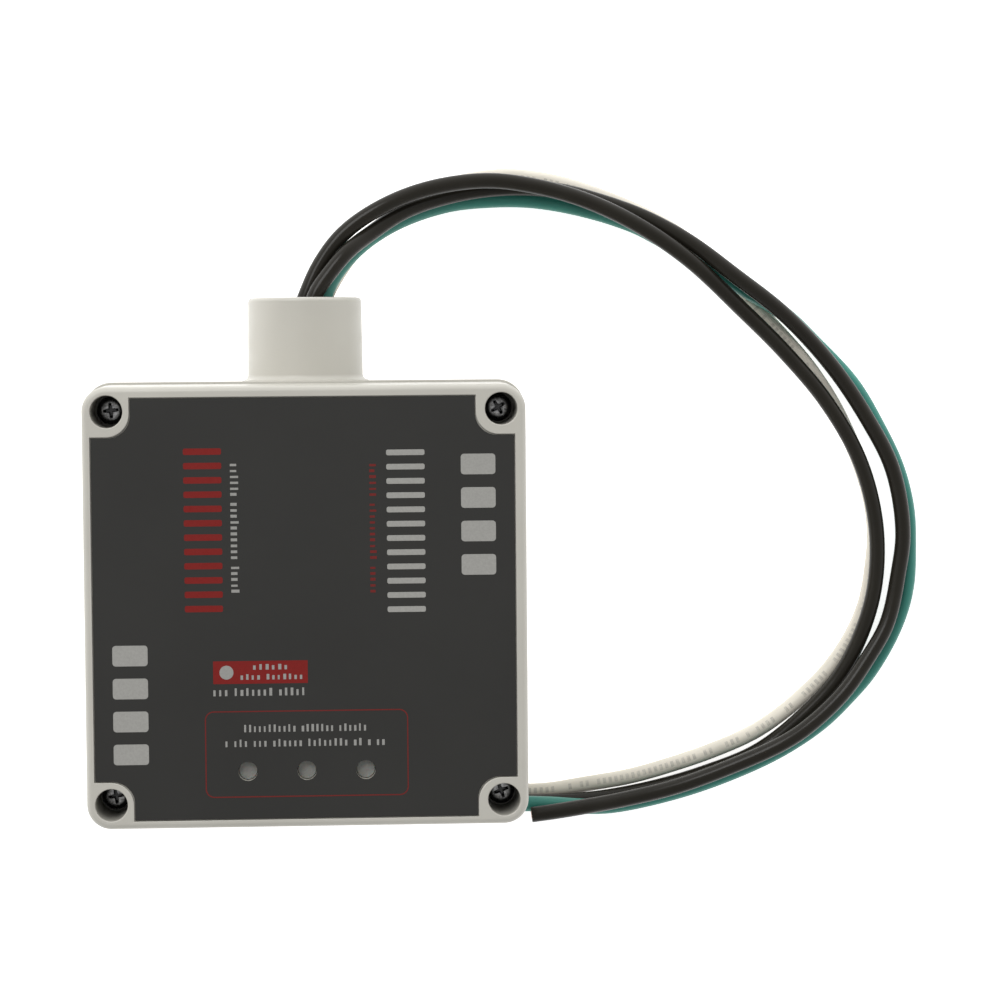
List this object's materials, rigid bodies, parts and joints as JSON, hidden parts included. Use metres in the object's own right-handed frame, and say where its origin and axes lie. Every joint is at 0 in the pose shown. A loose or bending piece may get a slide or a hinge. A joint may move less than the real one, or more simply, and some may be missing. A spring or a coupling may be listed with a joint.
{
  "type": "whole house surge protector",
  "caption": "Square plastic surge protector with a screwed front cover, status lights, a threaded-style conduit hub and loose coloured supply leads.",
  "frame": {"origin": "middle of the enclosure and hub outline, on the plane of the enclosure's back face", "axes": "+Z out of the labelled front, +Y along the conduit hub away from the enclosure, +X to the right when the label is read with the hub at the top"},
  "size_m": [0.2381, 0.1878, 0.06],
  "materials": {
    "enclosure_plastic": "satin moulded",
    "label_film": "printed film",
    "gasket_rubber": "matte",
    "screw_steel": "dark plated",
    "insert_brass": "plain",
    "board_laminate": "solder mask",
    "varistor_epoxy": "dipped epoxy",
    "fuse_body": "plain",
    "capacitor_case": "moulded",
    "resistor_body": "lacquered",
    "diode_body": "moulded",
    "led_lens": "diffused",
    "spacer_nylon": "plain",
    "seal_compound": "cast",
    "lead_black": "satin insulation",
    "lead_green": "satin insulation",
    "lead_white": "satin insulation"
  },
  "bodies": {
    "enclosure": {"enclosure_base": "enclosure_plastic", "cover_gasket": "gasket_rubber", "threaded_insert_1": "insert_brass", "threaded_insert_2": "insert_brass", "threaded_insert_3": "insert_brass", "threaded_insert_4": "insert_brass", "circuit_board": "board_laminate", "board_screw_1": "screw_steel", "board_screw_2": "screw_steel", "board_screw_3": "screw_steel", "board_screw_4": "screw_steel", "lead_terminal_1": "insert_brass", "lead_terminal_2": "insert_brass", "lead_terminal_3": "insert_brass", "lead_terminal_4": "insert_brass", "varistor_1": "varistor_epoxy", "varistor_2": "varistor_epoxy", "varistor_3": "varistor_epoxy", "varistor_4": "varistor_epoxy", "varistor_5": "varistor_epoxy", "varistor_6": "varistor_epoxy", "thermal_fuse_1": "fuse_body", "thermal_fuse_2": "fuse_body", "thermal_fuse_3": "fuse_body", "led_resistor_1": "resistor_body", "led_resistor_2": "resistor_body", "led_resistor_3": "resistor_body", "series_diode_1": "diode_body", "series_diode_2": "diode_body", "series_diode_3": "diode_body", "filter_capacitor_1": "capacitor_case", "filter_capacitor_2": "capacitor_case", "status_led_1": "led_lens", "status_led_2": "led_lens", "status_led_3": "led_lens", "led_spacer_1": "spacer_nylon", "led_spacer_2": "spacer_nylon", "led_spacer_3": "spacer_nylon", "hub_seal_plug": "seal_compound", "inner_lead_black_1": "lead_black", "inner_lead_black_2": "lead_black", "inner_lead_white": "lead_white", "inner_lead_green": "lead_green", "wire_black_1": "lead_black", "wire_black_2": "lead_black", "wire_green": "lead_green", "wire_white": "lead_white"},
    "cover": {"front_cover": "enclosure_plastic", "front_label": "label_film"},
    "screw_1": {"cover_screw_1": "screw_steel"},
    "screw_2": {"cover_screw_2": "screw_steel"},
    "screw_3": {"cover_screw_3": "screw_steel"},
    "screw_4": {"cover_screw_4": "screw_steel"}
  },
  "joints": [
    {"name": "cover_lift", "type": "slide", "parent": "enclosure", "child": "cover", "axis": [0, 0, 1], "range_m": [0, 0.06]},
    {"name": "cover_screw_1_turn", "type": "hinge", "parent": "cover", "child": "screw_1", "pos_m": [-0.0533, 0.0417, 0.0422], "axis": [0, 0, 1], "continuous": true},
    {"name": "cover_screw_2_turn", "type": "hinge", "parent": "cover", "child": "screw_2", "pos_m": [0.0533, 0.0417, 0.0422], "axis": [0, 0, 1], "continuous": true},
    {"name": "cover_screw_3_turn", "type": "hinge", "parent": "cover", "child": "screw_3", "pos_m": [-0.0533, -0.0649, 0.0422], "axis": [0, 0, 1], "continuous": true},
    {"name": "cover_screw_4_turn", "type": "hinge", "parent": "cover", "child": "screw_4", "pos_m": [0.0533, -0.0649, 0.0422], "axis": [0, 0, 1], "continuous": true}
  ]
}
